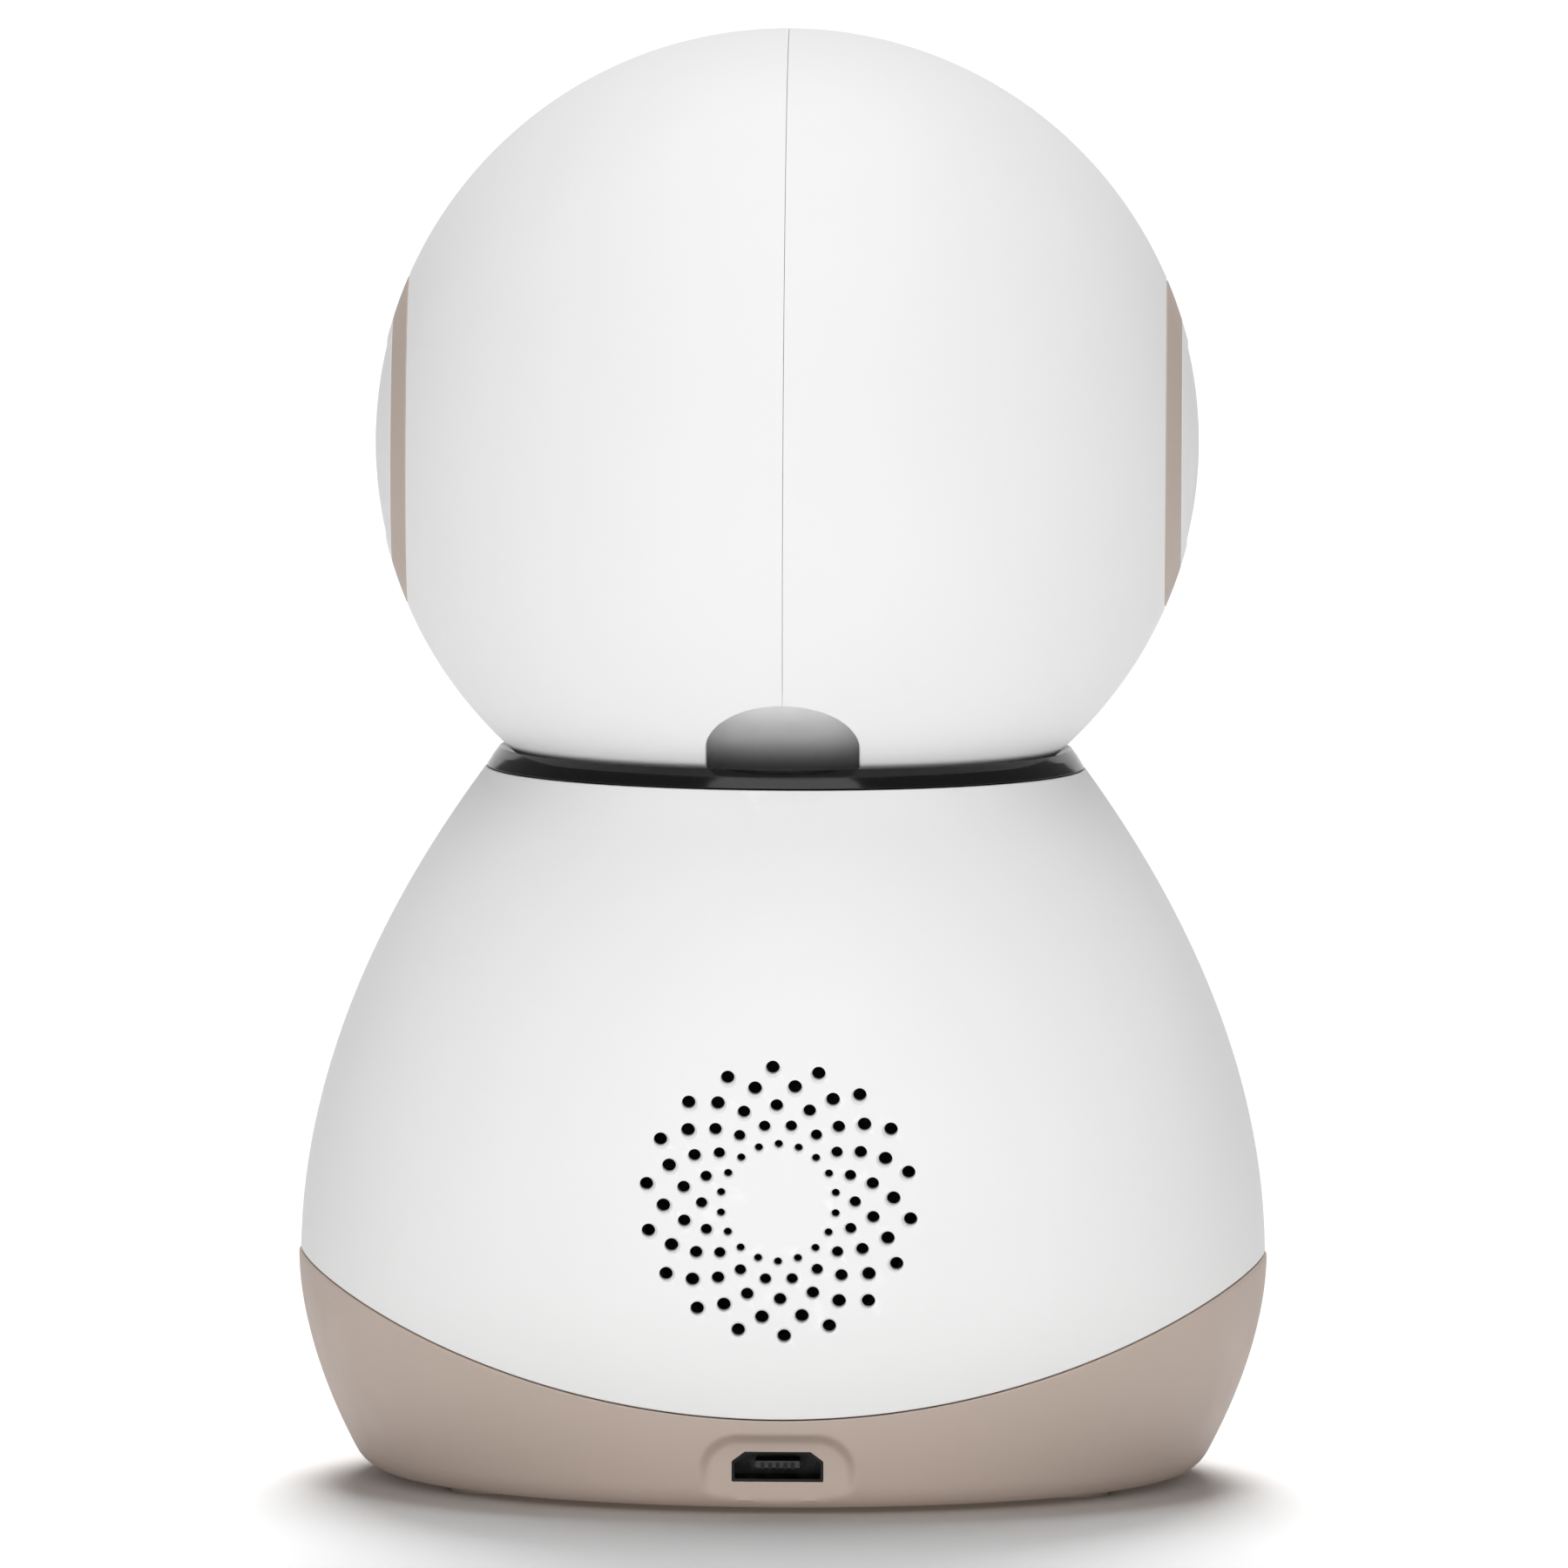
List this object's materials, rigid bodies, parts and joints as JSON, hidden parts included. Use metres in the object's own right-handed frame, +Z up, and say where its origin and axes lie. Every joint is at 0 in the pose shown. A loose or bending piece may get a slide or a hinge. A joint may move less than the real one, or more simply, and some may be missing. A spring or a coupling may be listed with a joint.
{
  "type": "baby monitor camera",
  "caption": "Pan and tilt baby monitor camera: a white ball head in a black neck ring on a bell-shaped base with a rear speaker grille and a power socket.",
  "frame": {"origin": "centre of the base, at the level of the feet", "axes": "+Z up along the pan axis; the lens looks along -Y at rest; the speaker grille and the power socket face +Y; the tilt axis is parallel to X"},
  "size_m": [0.084, 0.084, 0.126],
  "materials": {
    "white_plastic": "fine matte moulded texture",
    "taupe_plastic": "fine matte moulded texture",
    "gloss_black": "polished",
    "dark_plastic": "satin",
    "satin_grey": "satin painted",
    "natural_plastic": "moulded acetal",
    "rubber": "matte",
    "steel": "plated",
    "brass": "hobbed",
    "circuit_board": "solder mask",
    "chip": "epoxy",
    "paper_cone": "coated paper",
    "led": "clear epoxy",
    "glass": "coated"
  },
  "bodies": {
    "base": {"base_tub": "taupe_plastic", "body_shell": "white_plastic", "foot_pad_1": "rubber", "foot_pad_2": "rubber", "foot_pad_3": "rubber", "foot_pad_4": "rubber", "base_screw_1": "steel", "base_screw_2": "steel", "base_screw_3": "steel", "base_screw_4": "steel", "main_board": "circuit_board", "processor_shield": "steel", "usb_shell": "steel", "usb_tongue": "chip", "button_switch": "chip", "status_light_guide": "led", "microphone": "steel", "speaker_frame": "dark_plastic", "speaker_cone": "paper_cone", "bearing_plate": "natural_plastic", "plate_screw_1": "steel", "plate_screw_2": "steel", "plate_screw_3": "steel", "pan_motor": "steel"},
    "turntable": {"turntable": "dark_plastic", "neck_collar": "gloss_black", "pan_gear": "natural_plastic", "hub_clip": "steel", "tilt_yoke": "satin_grey", "yoke_screw": "steel", "tilt_motor": "steel", "pivot_pin": "steel"},
    "head": {"head_shell_left": "white_plastic", "head_shell_right": "white_plastic", "ear_ring_left": "taupe_plastic", "ear_ring_right": "taupe_plastic", "ear_cap_left": "white_plastic", "ear_cap_right": "white_plastic", "tilt_shaft": "steel", "head_chassis": "dark_plastic", "chassis_screw_1": "steel", "chassis_screw_2": "steel", "chassis_screw_3": "steel", "chassis_screw_4": "steel", "camera_board": "circuit_board", "image_sensor": "chip", "lens_barrel": "dark_plastic", "lens_glass": "glass", "lens_ring": "steel", "face_panel": "gloss_black", "ir_board": "circuit_board", "ir_led_1": "led", "ir_led_2": "led", "ir_led_3": "led", "ir_led_4": "led", "light_sensor": "led"},
    "pinion": {"pan_pinion": "brass"},
    "button": {"pair_button": "dark_plastic"}
  },
  "joints": [
    {"name": "pan", "type": "hinge", "parent": "base", "child": "turntable", "pos_m": [0, 0, 0.048], "axis": [0, 0, 1], "range_deg": [-175, 175]},
    {"name": "tilt", "type": "hinge", "parent": "turntable", "child": "head", "pos_m": [0, 0, 0.0901], "axis": [-1, 0, 0], "range_deg": [-13, 36]},
    {"name": "pan_pinion_turn", "type": "hinge", "parent": "base", "child": "pinion", "pos_m": [0, -0.0192, 0.043], "axis": [0, 0, 1], "range_deg": [-525, 525]},
    {"name": "pair_button_push", "type": "slide", "parent": "base", "child": "button", "axis": [0, 0, 1], "range_m": [0, 0.0005], "stiffness_N_per_m": 800, "springref_m": -0.0003}
  ],
  "couplings": [
    {"joint": "pan_pinion_turn", "follows": "pan", "ratio": -3}
  ]
}
